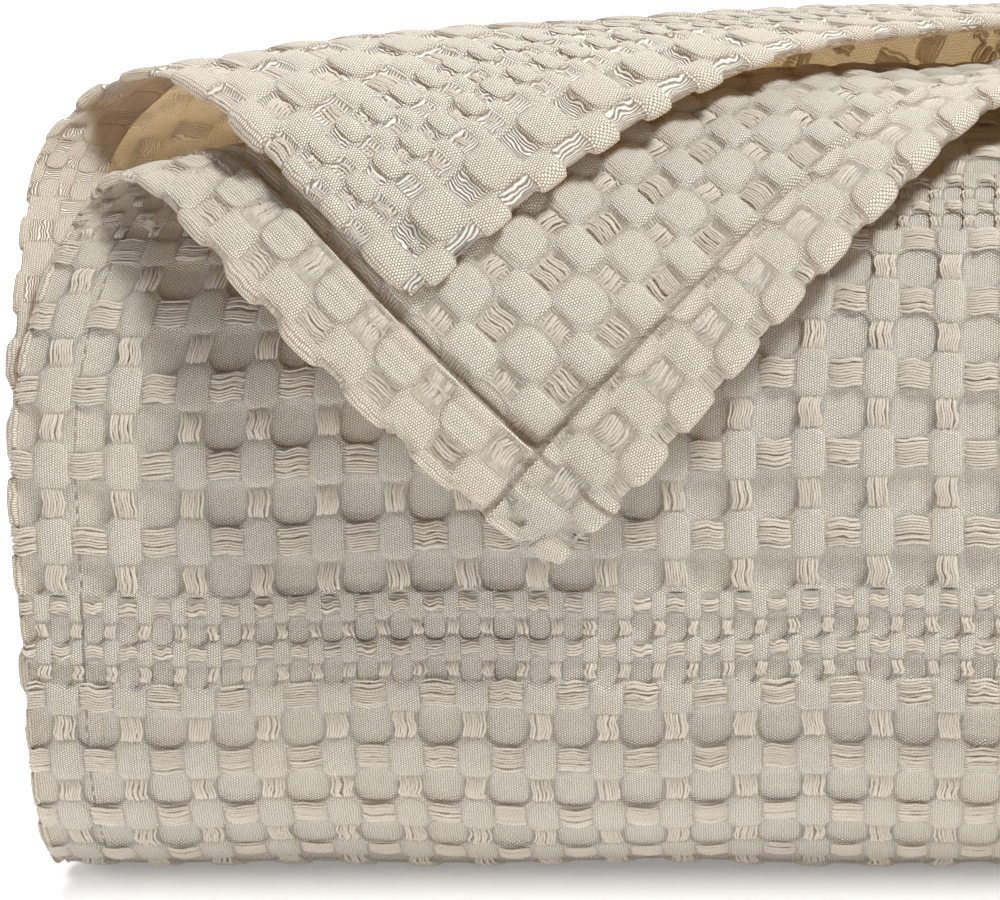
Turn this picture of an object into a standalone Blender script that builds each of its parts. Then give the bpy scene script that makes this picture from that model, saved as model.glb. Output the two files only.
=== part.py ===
"""Waffle weave cotton blanket, folded in quarters across and back and forth along, one corner turned over.

The blanket is one hemmed panel of cloth. It is folded twice across, so the folded strip is four
layers thick: outer, inner, then the two under layers, with both side hems at the left and the nested
turns at the right. The strip starts on top of the pile with its end hems, runs forward, drops down
the front in one round fold, and then goes back and forth inside it. At the left the corners of the
outer and the inner layer are rolled over towards the front and hang down it, one on the other.

World frame: metres, +X to the right, the front at -Y, +Z up, origin at the bottom centre of the box.
"""

import bpy
import bmesh
import math
from mathutils import Vector

# the blanket
BLANKET_WIDTH = 1.676
CLOTH = 0.003
HEM_THICK = 0.0042
HEM_WIDTH = 0.015

# the folded strip
LAYER_PITCH = 0.0062
STRIP_WIDTH = BLANKET_WIDTH / 4
LEFT_FOLD_INSET = 0.0050
STRIP_HALF = 1.5 * LAYER_PITCH + CLOTH / 2

# the pile, to the outside of the cloth
PILE_DEPTH = 0.373
TOP_RUN = 0.1120
TOP_RADIUS = 0.059
FOOT_RADIUS = 0.048
FRONT_RISE = 0.1488
LAST_END = 0.072

# the folds inside the pile: radius of the middle of the strip, how far the fold stands in from the
# pile's back or front, and how far the run after it is shifted to the right
FOLDS = [
    {"side": "back", "radius": 0.0122, "inset": 0.000, "shift": 0.0015},
    {"side": "front", "radius": 0.0127, "inset": 0.035, "shift": -0.0010},
    {"side": "back", "radius": 0.0121, "inset": 0.004, "shift": 0.0025},
    {"side": "front", "radius": 0.0126, "inset": 0.026, "shift": -0.0025},
    {"side": "back", "radius": 0.0124, "inset": 0.002, "shift": 0.0010},
]

# the two turned corners. The fold line leaves the left hem at "start" from the end hem and climbs at
# "angle". The roll over it has a radius and a height, each at the left hem and where it has "eased".
# "tip" is the height of the corner over its own layer, "belly" the lift of the hanging left hem,
# and "lean" how much the cloth near the roll is pulled to the right.
CORNERS = {
    "outer": {
        "start": 0.1780, "angle": math.radians(26.6), "radius": (0.0209, 0.0138),
        "height": (0.0160, 0.0145), "eased": 0.190, "tip": 0.0070, "belly": 0.0060,
        "lean": 2.36, "lean_from": 0.215,
    },
    "inner": {
        "start": 0.1570, "angle": math.radians(26.7), "radius": (0.0300, 0.0100),
        "height": (0.0320, 0.0330), "eased": 0.250, "tip": 0.0285, "belly": 0.0,
        "lean": -0.16, "lean_from": 0.300,
    },
}
BELLY_WIDTH = 0.090
LEAN_WIDTH = 0.250

# the free corner at the left, the front and the top has sunk a little
SINK = 0.0035
SINK_WIDTH = 0.170
SINK_DEPTH = 0.240

# how finely the cloth is divided
FINE_ROWS = 22
FINE_LENGTH = 0.190
FINE_COLUMNS = 20
COARSE_EVERY = 9
TURN_STEPS = 4
FOLD_STEPS = 6
PROBE = 0.00002

CLOTH_COLOUR = (0.60, 0.55, 0.46, 1.0)
CLOTH_ROUGHNESS = 0.92


def ease(x):
    """Smooth step from 0 to 1."""
    x = min(max(x, 0.0), 1.0)
    return x * x * (3.0 - 2.0 * x)


class Route:
    """A route in the YZ plane of straight runs and arcs, read by the distance along it."""

    def __init__(self, pieces, y, z, heading):
        self.legs = []
        along = 0.0
        for length, turn in pieces:
            self.legs.append((along, length, turn, y, z, heading))
            if turn == 0.0:
                y += length * math.cos(heading)
                z += length * math.sin(heading)
            else:
                radius = length / turn
                y += radius * (math.sin(heading + turn) - math.sin(heading))
                z += radius * (math.cos(heading) - math.cos(heading + turn))
            heading += turn
            along += length
        self.length = along

    def at(self, along):
        """The y, z and heading at a distance; past either end the route goes straight on."""
        for start, length, turn, y, z, heading in self.legs:
            if along <= start + length:
                break
        step = along - start
        if turn == 0.0 or step < 0.0:
            return y + step * math.cos(heading), z + step * math.sin(heading), heading
        bend = turn * min(step, length) / length
        radius = length / turn
        y += radius * (math.sin(heading + bend) - math.sin(heading))
        z += radius * (math.cos(heading) - math.cos(heading + bend))
        return y, z, heading + bend


def strip_pieces():
    """Straight runs and arcs of the strip's middle, from the end hems to the far end, with side shifts."""
    quarter = math.pi / 2
    front, back = -PILE_DEPTH / 2, PILE_DEPTH / 2
    pieces = [
        (TOP_RUN, 0.0),
        (TOP_RADIUS * quarter, quarter),
        (FRONT_RISE - TOP_RADIUS - FOOT_RADIUS, 0.0),
        (FOOT_RADIUS * quarter, quarter),
    ]
    shifts = [0.0] * len(pieces)
    y = front + STRIP_HALF + FOOT_RADIUS
    shift = 0.0
    for fold in FOLDS:
        reach = fold["inset"] + STRIP_HALF + fold["radius"]
        centre = back - reach if fold["side"] == "back" else front + reach
        turn = math.pi if fold["side"] == "back" else -math.pi
        pieces += [(abs(centre - y), 0.0), (math.pi * fold["radius"], turn)]
        shifts += [shift, fold["shift"]]
        shift = fold["shift"]
        y = centre
    pieces.append((abs(front + LAST_END - y), 0.0))
    shifts.append(shift)
    return pieces, shifts


PIECES, SHIFTS = strip_pieces()


def layer_route(height):
    """The route of a layer that lies this far out from the middle of the strip, by its own length."""
    start_y = -PILE_DEPTH / 2 + STRIP_HALF + TOP_RADIUS + TOP_RUN
    start_z = STRIP_HALF + FRONT_RISE + height
    pieces = [(length + height * turn, turn) for length, turn in PIECES]
    return Route(pieces, start_y, start_z, math.pi)


MIDDLE = layer_route(0.0)
LAYER_HEIGHT = {"outer": 1.5 * LAYER_PITCH, "inner": 0.5 * LAYER_PITCH}
LAYER_ROUTE = {name: layer_route(height) for name, height in LAYER_HEIGHT.items()}


def side_shift(along):
    """How far the strip is shifted to the right at a distance along it."""
    start = 0.0
    before = 0.0
    for (length, turn), after in zip(PIECES, SHIFTS):
        if along <= start + length:
            return before + (after - before) * ease((along - start) / length)
        start += length
        before = after
    return before


def lift_off(corner, u, v):
    """Where the flat point (u, v) of a layer lands on it once the corner is turned, and how high over it."""
    sine, cosine = math.sin(corner["angle"]), math.cos(corner["angle"])
    past = -(u * sine + (v - corner["start"]) * cosine)
    if past <= 0.0:
        return u, v, 0.0
    change = ease((u * cosine - (v - corner["start"]) * sine) / corner["eased"])
    radius = corner["radius"][0] + (corner["radius"][1] - corner["radius"][0]) * change
    height = corner["height"][0] + (corner["height"][1] - corner["height"][0]) * change
    bend = min(past / radius, math.pi)
    hanging = max(past - math.pi * radius, 0.0)
    landed = radius * math.sin(bend) - hanging
    lift = height * (1.0 - math.cos(bend)) / 2
    if hanging > 0.0:
        share = min(hanging / (corner["start"] * cosine - math.pi * radius), 1.0)
        belly = corner["belly"] * math.sin(math.pi * share) * (1.0 - ease(u / BELLY_WIDTH))
        lift += (corner["tip"] - height) * ease(share) + belly
    return u + (past - landed) * sine, v + (past - landed) * cosine, lift


def on_layer(name, u, along):
    """A point of the outer or inner layer, turned corner and all."""
    route, height, corner = LAYER_ROUTE[name], LAYER_HEIGHT[name], CORNERS[name]
    v = along + height * (MIDDLE.at(along)[2] - math.pi)
    landed_u, landed_v, lift = lift_off(corner, u, v)
    y, z, heading = route.at(landed_v)
    pull = corner["lean"] * max(corner["lean_from"] - landed_v, 0.0) ** 2
    x = landed_u + pull * (1.0 - ease(landed_u / LEAN_WIDTH)) + side_shift(along)
    return Vector((x - STRIP_WIDTH / 2, y + lift * math.sin(heading), z - lift * math.cos(heading)))


def in_stack(u, height, along):
    """A point of the strip by its place across, its height in the stack and the distance along."""
    y, z, heading = MIDDLE.at(along)
    x = u - STRIP_WIDTH / 2 + side_shift(along)
    return Vector((x, y + height * math.sin(heading), z - height * math.cos(heading)))


def across_sections():
    """The cloth's way across the strip, as (length, place) with place(distance, along) a point."""
    wide, narrow = 1.5 * LAYER_PITCH, 0.5 * LAYER_PITCH
    right = STRIP_WIDTH - wide - CLOTH / 2
    left = LEFT_FOLD_INSET + narrow
    run = right - left
    return [
        ("outer layer", right, lambda d, t: on_layer("outer", d, t)),
        ("outer right turn", math.pi * wide,
         lambda d, t: in_stack(right + wide * math.sin(d / wide), wide * math.cos(d / wide), t)),
        ("lower under layer", run, lambda d, t: in_stack(right - d, -wide, t)),
        ("left fold", math.pi * narrow,
         lambda d, t: in_stack(left - narrow * math.sin(d / narrow),
                               -LAYER_PITCH - narrow * math.cos(d / narrow), t)),
        ("upper under layer", run, lambda d, t: in_stack(left + d, -narrow, t)),
        ("inner right turn", math.pi * narrow,
         lambda d, t: in_stack(right + narrow * math.sin(d / narrow), -narrow * math.cos(d / narrow), t)),
        ("inner layer", right, lambda d, t: on_layer("inner", right - d, t)),
    ]


SECTIONS = across_sections()
CLOTH_ACROSS = sum(length for name, length, place in SECTIONS)


def sunk(point):
    """The point with the free corner's sinking."""
    near_left = 1.0 - ease((point.x + STRIP_WIDTH / 2) / SINK_WIDTH)
    near_front = 1.0 - ease((point.y + PILE_DEPTH / 2) / SINK_DEPTH)
    high = ease(point.z / (FRONT_RISE + STRIP_HALF))
    return point - Vector((0.0, 0.0, SINK * near_left * near_front * high))


def place_on_cloth(across, along):
    """A point of the cloth's middle surface by its two distances from the blanket's corner."""
    start = 0.0
    for name, length, place in SECTIONS[:-1]:
        if across <= start + length:
            return sunk(place(across - start, along))
        start += length
    return sunk(SECTIONS[-1][2](across - start, along))


def cloth_columns():
    """Distances across the cloth, each with whether it goes on below the turned corner."""
    columns = []
    start = 0.0
    for name, length, place in SECTIONS:
        if "layer" in name and "under" not in name:
            body = [HEM_WIDTH + (length - HEM_WIDTH) * i / FINE_COLUMNS for i in range(FINE_COLUMNS + 1)]
            steps = [0.0] + body
            if name == "inner layer":
                steps = [length - step for step in reversed(steps)]
            keeps = [step in (0.0, length) or abs(step - HEM_WIDTH) < 1e-9
                     or abs(length - step - HEM_WIDTH) < 1e-9 or i % COARSE_EVERY == 0
                     for i, step in enumerate(steps)]
        else:
            count = TURN_STEPS if "turn" in name or "fold" in name else 2
            steps = [length * i / count for i in range(count + 1)]
            keeps = [True] * len(steps)
        for step, keep in zip(steps[:-1], keeps[:-1]):
            columns.append((start + step, keep))
        start += length
    columns.append((start, True))
    return columns


def cloth_rows():
    """Distances along the cloth, each with whether all the columns are there."""
    rows = [(0.0, True), (HEM_WIDTH, True)]
    rows += [(HEM_WIDTH + (FINE_LENGTH - HEM_WIDTH) * i / FINE_ROWS, True) for i in range(1, FINE_ROWS + 1)]
    start = 0.0
    for length, turn in PIECES:
        count = 2
        if turn != 0.0:
            count = FOLD_STEPS if abs(turn) > 2.0 else FOLD_STEPS - 1
        for i in range(1, count + 1):
            along = start + length * i / count
            if along > FINE_LENGTH + 0.004:
                rows.append((along, False))
        start += length
    rows.insert(-1, (MIDDLE.length - HEM_WIDTH, False))
    rows.sort()
    return rows


def thickness_at(across, along):
    """The cloth is thicker in its hems."""
    edge = min(across, CLOTH_ACROSS - across, along, MIDDLE.length - along)
    return HEM_THICK if edge <= HEM_WIDTH + 1e-6 else CLOTH


def both_faces(across, along):
    """The points on either face of the cloth."""
    middle = place_on_cloth(across, along)
    a0, a1 = max(across - PROBE, 0.0), min(across + PROBE, CLOTH_ACROSS)
    t0, t1 = max(along - PROBE, 0.0), min(along + PROBE, MIDDLE.length)
    over = place_on_cloth(a1, along) - place_on_cloth(a0, along)
    down = place_on_cloth(across, t1) - place_on_cloth(across, t0)
    normal = down.cross(over).normalized()
    half = normal * thickness_at(across, along) / 2
    points = [middle + half, middle - half]
    for point in points:
        point.z = max(point.z, 0.0)
    return points


def stitch_rows(mesh, upper, lower):
    """Triangles between two rows of cloth; each row is a list of (distance across, vertex)."""
    i = j = 0
    while i < len(upper) - 1 or j < len(lower) - 1:
        step_lower = i == len(upper) - 1 or (
            j < len(lower) - 1 and lower[j + 1][0] + lower[j][0] < upper[i + 1][0] + upper[i][0] + 1e-7)
        if step_lower:
            mesh.faces.new((upper[i][1], lower[j][1], lower[j + 1][1]))
            j += 1
        else:
            mesh.faces.new((upper[i][1], lower[j][1], upper[i + 1][1]))
            i += 1


def build_cloth():
    """The folded blanket: one closed sheet with two faces and a rim."""
    columns, rows = cloth_columns(), cloth_rows()
    mesh = bmesh.new()
    top, bottom = [], []
    for along, full in rows:
        kept = [across for across, keep in columns if keep or full]
        pairs = [(across, both_faces(across, along)) for across in kept]
        top.append([(across, mesh.verts.new(points[0])) for across, points in pairs])
        bottom.append([(across, mesh.verts.new(points[1])) for across, points in pairs])
    for k in range(len(rows) - 1):
        stitch_rows(mesh, top[k], top[k + 1])
        stitch_rows(mesh, bottom[k], bottom[k + 1])
    for row in (0, -1):
        stitch_rows(mesh, top[row], bottom[row])
    for end in (0, -1):
        for k in range(len(rows) - 1):
            a, b = top[k][end][1], top[k + 1][end][1]
            c, d = bottom[k + 1][end][1], bottom[k][end][1]
            mesh.faces.new((a, b, c, d))
    bmesh.ops.recalc_face_normals(mesh, faces=mesh.faces)
    if mesh.calc_volume(signed=True) < 0.0:
        bmesh.ops.reverse_faces(mesh, faces=mesh.faces)
    return mesh


def centre_on_origin(mesh):
    """Moves the mesh so that the middle of its box is over the origin."""
    xs = [vertex.co.x for vertex in mesh.verts]
    ys = [vertex.co.y for vertex in mesh.verts]
    middle = Vector(((min(xs) + max(xs)) / 2, (min(ys) + max(ys)) / 2, 0.0))
    bmesh.ops.translate(mesh, verts=mesh.verts, vec=-middle)


def cotton_material():
    """Undyed linen-coloured cotton."""
    material = bpy.data.materials.new("natural cotton")
    material.use_nodes = True
    shader = material.node_tree.nodes["Principled BSDF"]
    shader.inputs["Base Color"].default_value = CLOTH_COLOUR
    shader.inputs["Roughness"].default_value = CLOTH_ROUGHNESS
    shader.inputs["Metallic"].default_value = 0.0
    return material


def main():
    for old in list(bpy.data.objects):
        bpy.data.objects.remove(old, do_unlink=True)
    mesh = build_cloth()
    centre_on_origin(mesh)
    data = bpy.data.meshes.new("blanket")
    mesh.to_mesh(data)
    mesh.free()
    data.shade_smooth()
    data.set_sharp_from_angle(angle=math.radians(50))
    data.materials.append(cotton_material())
    blanket = bpy.data.objects.new("blanket", data)
    bpy.context.scene.collection.objects.link(blanket)


main()
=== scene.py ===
import bpy
import bmesh
import math
import numpy as np
from functools import partial
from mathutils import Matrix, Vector


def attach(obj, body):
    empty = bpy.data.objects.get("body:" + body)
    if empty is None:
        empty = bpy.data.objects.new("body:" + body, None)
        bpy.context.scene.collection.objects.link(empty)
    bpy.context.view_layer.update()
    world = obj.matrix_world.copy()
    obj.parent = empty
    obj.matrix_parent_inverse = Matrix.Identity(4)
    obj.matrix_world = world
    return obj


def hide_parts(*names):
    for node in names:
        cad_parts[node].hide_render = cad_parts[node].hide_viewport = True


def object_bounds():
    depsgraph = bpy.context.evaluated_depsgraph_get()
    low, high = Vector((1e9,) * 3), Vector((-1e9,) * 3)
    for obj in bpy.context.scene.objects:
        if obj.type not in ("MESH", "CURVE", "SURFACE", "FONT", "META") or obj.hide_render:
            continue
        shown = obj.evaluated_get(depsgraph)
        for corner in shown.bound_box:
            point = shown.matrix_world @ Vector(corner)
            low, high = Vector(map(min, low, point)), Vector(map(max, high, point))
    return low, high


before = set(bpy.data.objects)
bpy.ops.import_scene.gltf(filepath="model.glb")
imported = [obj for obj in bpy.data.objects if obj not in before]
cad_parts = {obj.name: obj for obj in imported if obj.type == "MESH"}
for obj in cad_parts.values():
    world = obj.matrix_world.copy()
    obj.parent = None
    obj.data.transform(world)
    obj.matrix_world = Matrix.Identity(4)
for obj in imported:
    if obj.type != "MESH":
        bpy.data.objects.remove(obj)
cadLow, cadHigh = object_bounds()
print("frame loaded")

# the folded strip and the pile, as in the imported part
fold = dict(
    stripWidth=0.419, thickness=0.003, pitch=0.0062, leftInset=0.005, stripHalf=0.0108,
    pileDepth=0.373, topRun=0.112, topRadius=0.059, footRadius=0.048, frontRise=0.1488,
    lastEnd=0.072, sink=0.0035, sinkWidth=0.170, sinkDepth=0.240, leanWidth=0.250,
    bellyWidth=0.090, floorGap=0.0003,
)
innerFolds = [  # side, radius, inset, shift of the run after it
    ("back", 0.0122, 0.000, 0.0015),
    ("front", 0.0127, 0.035, -0.0010),
    ("back", 0.0121, 0.004, 0.0025),
    ("front", 0.0126, 0.026, -0.0025),
    ("back", 0.0124, 0.002, 0.0010),
]
corners = {  # pairs of numbers are at the cloth's edge and further in
    "outer": dict(start=0.1780, angle=math.radians(26.6), radius=(0.0209, 0.0138),
                  height=(0.0160, 0.0145), eased=0.190, tip=0.0070, belly=0.0060,
                  lean=2.36, leanFrom=0.215),
    "inner": dict(start=0.1570, angle=math.radians(26.7), radius=(0.0300, 0.0100),
                  height=(0.0320, 0.0330), eased=0.250, tip=0.0285, belly=0.0,
                  lean=-0.16, leanFrom=0.300),
}
turnedFrom, turnedOver = 0.010, 0.020  # how far past a corner's fold line the cloth is turned
hem = dict(
    width=0.0158, side=0.0011, end=0.0015, stitch=0.0124,
    flat=0.35, flatFrom=0.006, flatOver=0.006, pucker=0.25, puckerWidth=0.0011,
    closeBefore=0.0006, closeOver=0.0010, closedTo=0.0002, tail=0.0002,
    clear=0.0018, cornerCloser=0.0012, sideFade=0.003,
    squeeze=0.6, squeezeFrom=0.009, squeezeOver=0.004,
    fineFrom=0.0112, fineStep=0.0005, turnSteps=5,
    sewnWidth=0.0010, sewnFlat=0.7, sewnDeep=0.0003, relief=0.8,
    groove=0.0014, grooveGap=0.0012, grooveWidth=0.00085, underGroove=0.5, turnIn=0.005,
)


def ease(x):
    x = np.clip(x, 0.0, 1.0)
    return x * x * (3.0 - 2.0 * x)


def fade(x, start, over):
    return 1.0 - ease((x - start) / over)


def slowWave(x, y, fast, bend, slow, start=0):
    # a wave along x whose phase sways with y
    return np.sin(x * fast + bend * np.sin(y * slow + start))


# the way of the folded cloth

def stripLegs():
    quarter = math.pi / 2
    front, back = -fold["pileDepth"] / 2, fold["pileDepth"] / 2
    legs = [  # length, turn, shift
        (fold["topRun"], 0.0, 0.0),
        (fold["topRadius"] * quarter, quarter, 0.0),
        (fold["frontRise"] - fold["topRadius"] - fold["footRadius"], 0.0, 0.0),
        (fold["footRadius"] * quarter, quarter, 0.0),
    ]
    y, shift = front + fold["stripHalf"] + fold["footRadius"], 0.0
    for side, radius, inset, after in innerFolds:
        reach = inset + fold["stripHalf"] + radius
        centre = back - reach if side == "back" else front + reach
        legs.append((abs(centre - y), 0.0, shift))
        legs.append((math.pi * radius, math.pi if side == "back" else -math.pi, after))
        shift, y = after, centre
    legs.append((abs(front + fold["lastEnd"] - y), 0.0, shift))
    return legs


legs = stripLegs()
stripLength = sum(leg[0] for leg in legs)
footEnd = sum(leg[0] for leg in legs[:4])  # the top run, the front and the fold at its foot


def makeRoute(height):
    # one row for each leg of a layer: start, length, turn, place and heading
    y = -fold["pileDepth"] / 2 + fold["stripHalf"] + fold["topRadius"] + fold["topRun"]
    z = fold["stripHalf"] + fold["frontRise"] + height
    heading, along, rows = math.pi, 0.0, []
    for length, turn, _ in legs:
        length = length + height * turn
        rows.append((along, length, turn, y, z, heading))
        if turn == 0.0:
            y += length * math.cos(heading)
            z += length * math.sin(heading)
        else:
            radius = length / turn
            y += radius * (math.sin(heading + turn) - math.sin(heading))
            z += radius * (math.cos(heading) - math.cos(heading + turn))
        heading += turn
        along += length
    return np.array(rows)


def readRoute(route, along):
    pick = np.clip(np.searchsorted(route[:, 0], along, side="right") - 1, 0, len(route) - 1)
    start, length, turn, y, z, heading = (route[pick, i] for i in range(6))
    step = along - start
    straight = (turn == 0.0) | (step < 0.0)
    safeTurn = np.where(straight, 1.0, turn)
    bend = np.where(straight, 0.0, safeTurn * np.minimum(step, length) / length)
    radius = length / safeTurn
    bentY = y + radius * (np.sin(heading + bend) - np.sin(heading))
    bentZ = z + radius * (np.cos(heading) - np.cos(heading + bend))
    return (np.where(straight, y + step * np.cos(heading), bentY),
            np.where(straight, z + step * np.sin(heading), bentZ), heading + bend)


middleRoute = makeRoute(0.0)
layerHeights = {"outer": 1.5 * fold["pitch"], "inner": 0.5 * fold["pitch"]}
layerRoutes = {name: makeRoute(height) for name, height in layerHeights.items()}
rightTurn = fold["stripWidth"] - layerHeights["outer"] - fold["thickness"] / 2
leftTurn = fold["leftInset"] + layerHeights["inner"]
outerEnd, underStart, leftStart, leftEnd, underEnd, innerStart, clothWidth = np.cumsum([
    rightTurn, math.pi * layerHeights["outer"], rightTurn - leftTurn,
    math.pi * layerHeights["inner"], rightTurn - leftTurn,
    math.pi * layerHeights["inner"], rightTurn]).tolist()
centreX = fold["stripWidth"] / 2 + max(after for _, _, _, after in innerFolds) - cadHigh.x
centreY = fold["pileDepth"] / 2 - cadHigh.y


def sideShift(along):
    # how far each run lies to the right of the first
    shift = np.zeros_like(along)
    start, before = 0.0, 0.0
    for length, _, after in legs:
        reached = before + (after - before) * ease((along - start) / length)
        shift = np.where(along > start, reached, shift)
        start, before = start + length, after
    return shift


def acrossPlace(across):
    # where a place across the flat cloth lies in the strip: from its left, and above its middle
    wide, narrow, pitch = layerHeights["outer"], layerHeights["inner"], fold["pitch"]
    parts = (
        (outerEnd, lambda d: (rightTurn + wide * np.sin(d / wide), wide * np.cos(d / wide))),
        (underStart, lambda d: (rightTurn - d, -wide)),
        (leftStart, lambda d: (leftTurn - narrow * np.sin(d / narrow),
                               -pitch - narrow * np.cos(d / narrow))),
        (leftEnd, lambda d: (leftTurn + d, -narrow)),
        (underEnd, lambda d: (rightTurn + narrow * np.sin(d / narrow),
                              -narrow * np.cos(d / narrow))),
        (innerStart, lambda d: (rightTurn - d, narrow)),
    )
    u, height = np.array(across, float), np.full(np.shape(across), wide)
    for start, place in parts:
        newU, newHeight = place(across - start)
        u = np.where(across > start, newU, u)
        height = np.where(across > start, newHeight, height)
    return u, height


def pastFold(corner, u, v):
    sine, cosine = math.sin(corner["angle"]), math.cos(corner["angle"])
    return -(u * sine + (v - corner["start"]) * cosine)


def turnedShare(corner, u, v):
    # 0 on the lying cloth, 1 on the cloth beyond a corner's roll
    return ease((pastFold(corner, u, v) - turnedFrom) / turnedOver)


def liftOff(corner, u, v):
    # where a place lands when its corner is rolled over, and how high above the lying cloth
    sine, cosine = math.sin(corner["angle"]), math.cos(corner["angle"])
    past = pastFold(corner, u, v)
    change = ease((u * cosine - (v - corner["start"]) * sine) / corner["eased"])
    radius = corner["radius"][0] + (corner["radius"][1] - corner["radius"][0]) * change
    height = corner["height"][0] + (corner["height"][1] - corner["height"][0]) * change
    bend = np.clip(past / radius, 0.0, math.pi)
    hanging = np.maximum(past - math.pi * radius, 0.0)
    landed = radius * np.sin(bend) - hanging
    share = np.minimum(hanging / (corner["start"] * cosine - math.pi * radius), 1.0)
    belly = corner["belly"] * np.sin(math.pi * share) * (1.0 - ease(u / fold["bellyWidth"]))
    lift = height * (1.0 - np.cos(bend)) / 2 + (corner["tip"] - height) * ease(share) + belly
    moved = np.where(past > 0.0, past - landed, 0.0)
    return u + moved * sine, v + moved * cosine, np.where(past > 0.0, lift, 0.0)


def ownLength(along, height):
    # a layer's own length of cloth at a distance along the strip's middle
    return along + height * (readRoute(middleRoute, along)[2] - math.pi)


def clothMiddle(across, along):
    # the place in the pile of a point of the flat cloth
    u, height = acrossPlace(across)
    y, z, heading = readRoute(middleRoute, along)
    shift = sideShift(along)
    x = u + shift
    y = y + height * np.sin(heading)
    z = z - height * np.cos(heading)
    for name, mine in (("outer", across <= outerEnd), ("inner", across >= innerStart)):
        if not mine.any():
            continue
        corner = corners[name]
        v = ownLength(along[mine], layerHeights[name])
        landedU, landedV, lift = liftOff(corner, u[mine], v)
        ly, lz, turned = readRoute(layerRoutes[name], landedV)
        pull = corner["lean"] * np.maximum(corner["leanFrom"] - landedV, 0.0) ** 2
        x[mine] = landedU + pull * (1.0 - ease(landedU / fold["leanWidth"])) + shift[mine]
        y[mine] = ly + lift * np.sin(turned)
        z[mine] = lz - lift * np.cos(turned)
    nearLeft = 1.0 - ease(x / fold["sinkWidth"])
    nearFront = 1.0 - ease((y + fold["pileDepth"] / 2) / fold["sinkDepth"])
    high = ease(z / (fold["frontRise"] + fold["stripHalf"]))
    z = z - fold["sink"] * nearLeft * nearFront * high
    return np.stack([x - fold["stripWidth"] / 2 - centreX, y - centreY, z], axis=-1)


def hemTurn(past, radius, floor):
    # how far in from the edge, how high, and the turn, for cloth that has gone past its edge;
    # floor is how high the cloth under the hem is
    turn = np.minimum(past / radius, math.pi)
    inward = np.maximum(past - math.pi * radius, 0.0)
    thick = 2 * radius - floor
    flat = hem["flat"] * ease((inward - hem["flatFrom"]) / hem["flatOver"])
    pucker = hem["pucker"] * np.exp(-((inward - hem["stitch"]) / hem["puckerWidth"]) ** 2)
    closing = ease((inward - hem["width"] + hem["closeBefore"]) / hem["closeOver"])
    level = -floor - thick * (1.0 - flat - pucker) * (1.0 - closing) - closing * hem["closedTo"]
    height = np.where(turn < math.pi, -radius * (1.0 - np.cos(turn)), level)
    return inward - radius * np.sin(turn), height, turn


def clothPoint(across, along, lift):
    # lift is counted on the cloth's right side, which is outside on the outer layer
    across, along, lift = (np.array(a, float) for a in np.broadcast_arrays(across, along, lift))
    sidePast = np.maximum(np.maximum(-across, across - clothWidth), 0.0)
    inward, height, turn = hemTurn(sidePast, hem["side"], 0.0)
    inward = np.where(sidePast > 0.0, inward - lift * np.sin(turn), 0.0)
    level = height + lift * np.cos(turn)
    a = np.where(across > clothWidth, clothWidth - inward, across)
    a = np.where(across < 0.0, inward, a)
    # the turned cloth stays clear of the cells; on the outer corner it lies on top, and closer
    onCorner = turnedShare(corners["outer"], a, np.maximum(along, 0.0)) * (a < clothWidth / 2)
    clear = hem["cornerCloser"] * onCorner - hem["clear"]
    level = np.where(sidePast > math.pi * hem["side"], np.minimum(level, clear), level)
    edge = np.minimum(np.abs(a), np.abs(clothWidth - a))
    onSideHem = fade(edge, hem["width"], hem["sideFade"])
    endPast = np.maximum(-along, 0.0)
    inward, height, turn = hemTurn(endPast, hem["end"], 1.8 * hem["side"] * onSideHem)
    # where both hems meet, the side hem lies inside the end hem and is pressed flat
    squeezed = 1.0 - hem["squeeze"] * ease((inward - hem["squeezeFrom"]) / hem["squeezeOver"])
    inside = np.minimum(level, -hem["side"]) * squeezed
    level = np.where((sidePast > 0.0) & (along < 0.0), inside, level)
    t = np.where(along < 0.0, inward - level * np.sin(turn), along)
    level = np.where(along < 0.0, height + level * np.cos(turn), level)
    level = np.where(endPast > math.pi * hem["end"], np.minimum(level, clear), level)
    drift = weave["drift"]
    a, t = (a + drift * slowWave(t, a, 57, 1.1, 61),
            t + drift * slowWave(a, t, 63, 1.4, 45, 1))
    probe = 0.0004
    down = clothMiddle(a, t + probe) - clothMiddle(a, t - probe)
    over = clothMiddle(a + probe, t) - clothMiddle(a - probe, t)
    normal = np.cross(down, over)
    normal /= np.maximum(np.linalg.norm(normal, axis=-1, keepdims=True), 1e-12)
    point = clothMiddle(a, t) + normal * level[..., None]
    point[..., 2] = np.maximum(point[..., 2], fold["floorGap"])
    return point


# the waffle weave

weave = dict(
    repeatAcross=0.015, repeatAlong=0.0174, firstRow={"outer": 0.239, "inner": 0.112},
    rows=7.0, smallFrom=0.29, smallTo=2.27, small=0.62, uneven=0.25,
    relief=0.00125, pit=0.00030, flapPit=0.00110, wander=0.00035, drift=0.00045,
)
rowKnots = np.array([0.0, 6.7, 12.0, 16.8, 21.6, 27.2, 34.8, 52.2, 69.6, 87.0, 104.4]) / 1000
rowNumbers = np.array([0.0, 0.5, 1.0, 1.5, 2.0, 2.5, 3.0, 4.0, 5.0, 6.0, 7.0])
cells = dict(  # in shares of a repeat: half width, half height and how square a plain cell is
    sunken=(0.345, 0.325, 3.0), raised=(0.25, 0.32, 2.5),
    rim=(0.72, 0.34), dome=1.08, turnedSunken=0.05, raisedHeight=0.32, turnedRaised=1.02,
    warpSides=(0.12, 0.07), warpEnds=(0.15, 0.09),  # where a float starts to fall, and over what
    weftSides=(0.14, 0.07), weftEnds=(0.20, 0.09),
)


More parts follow.
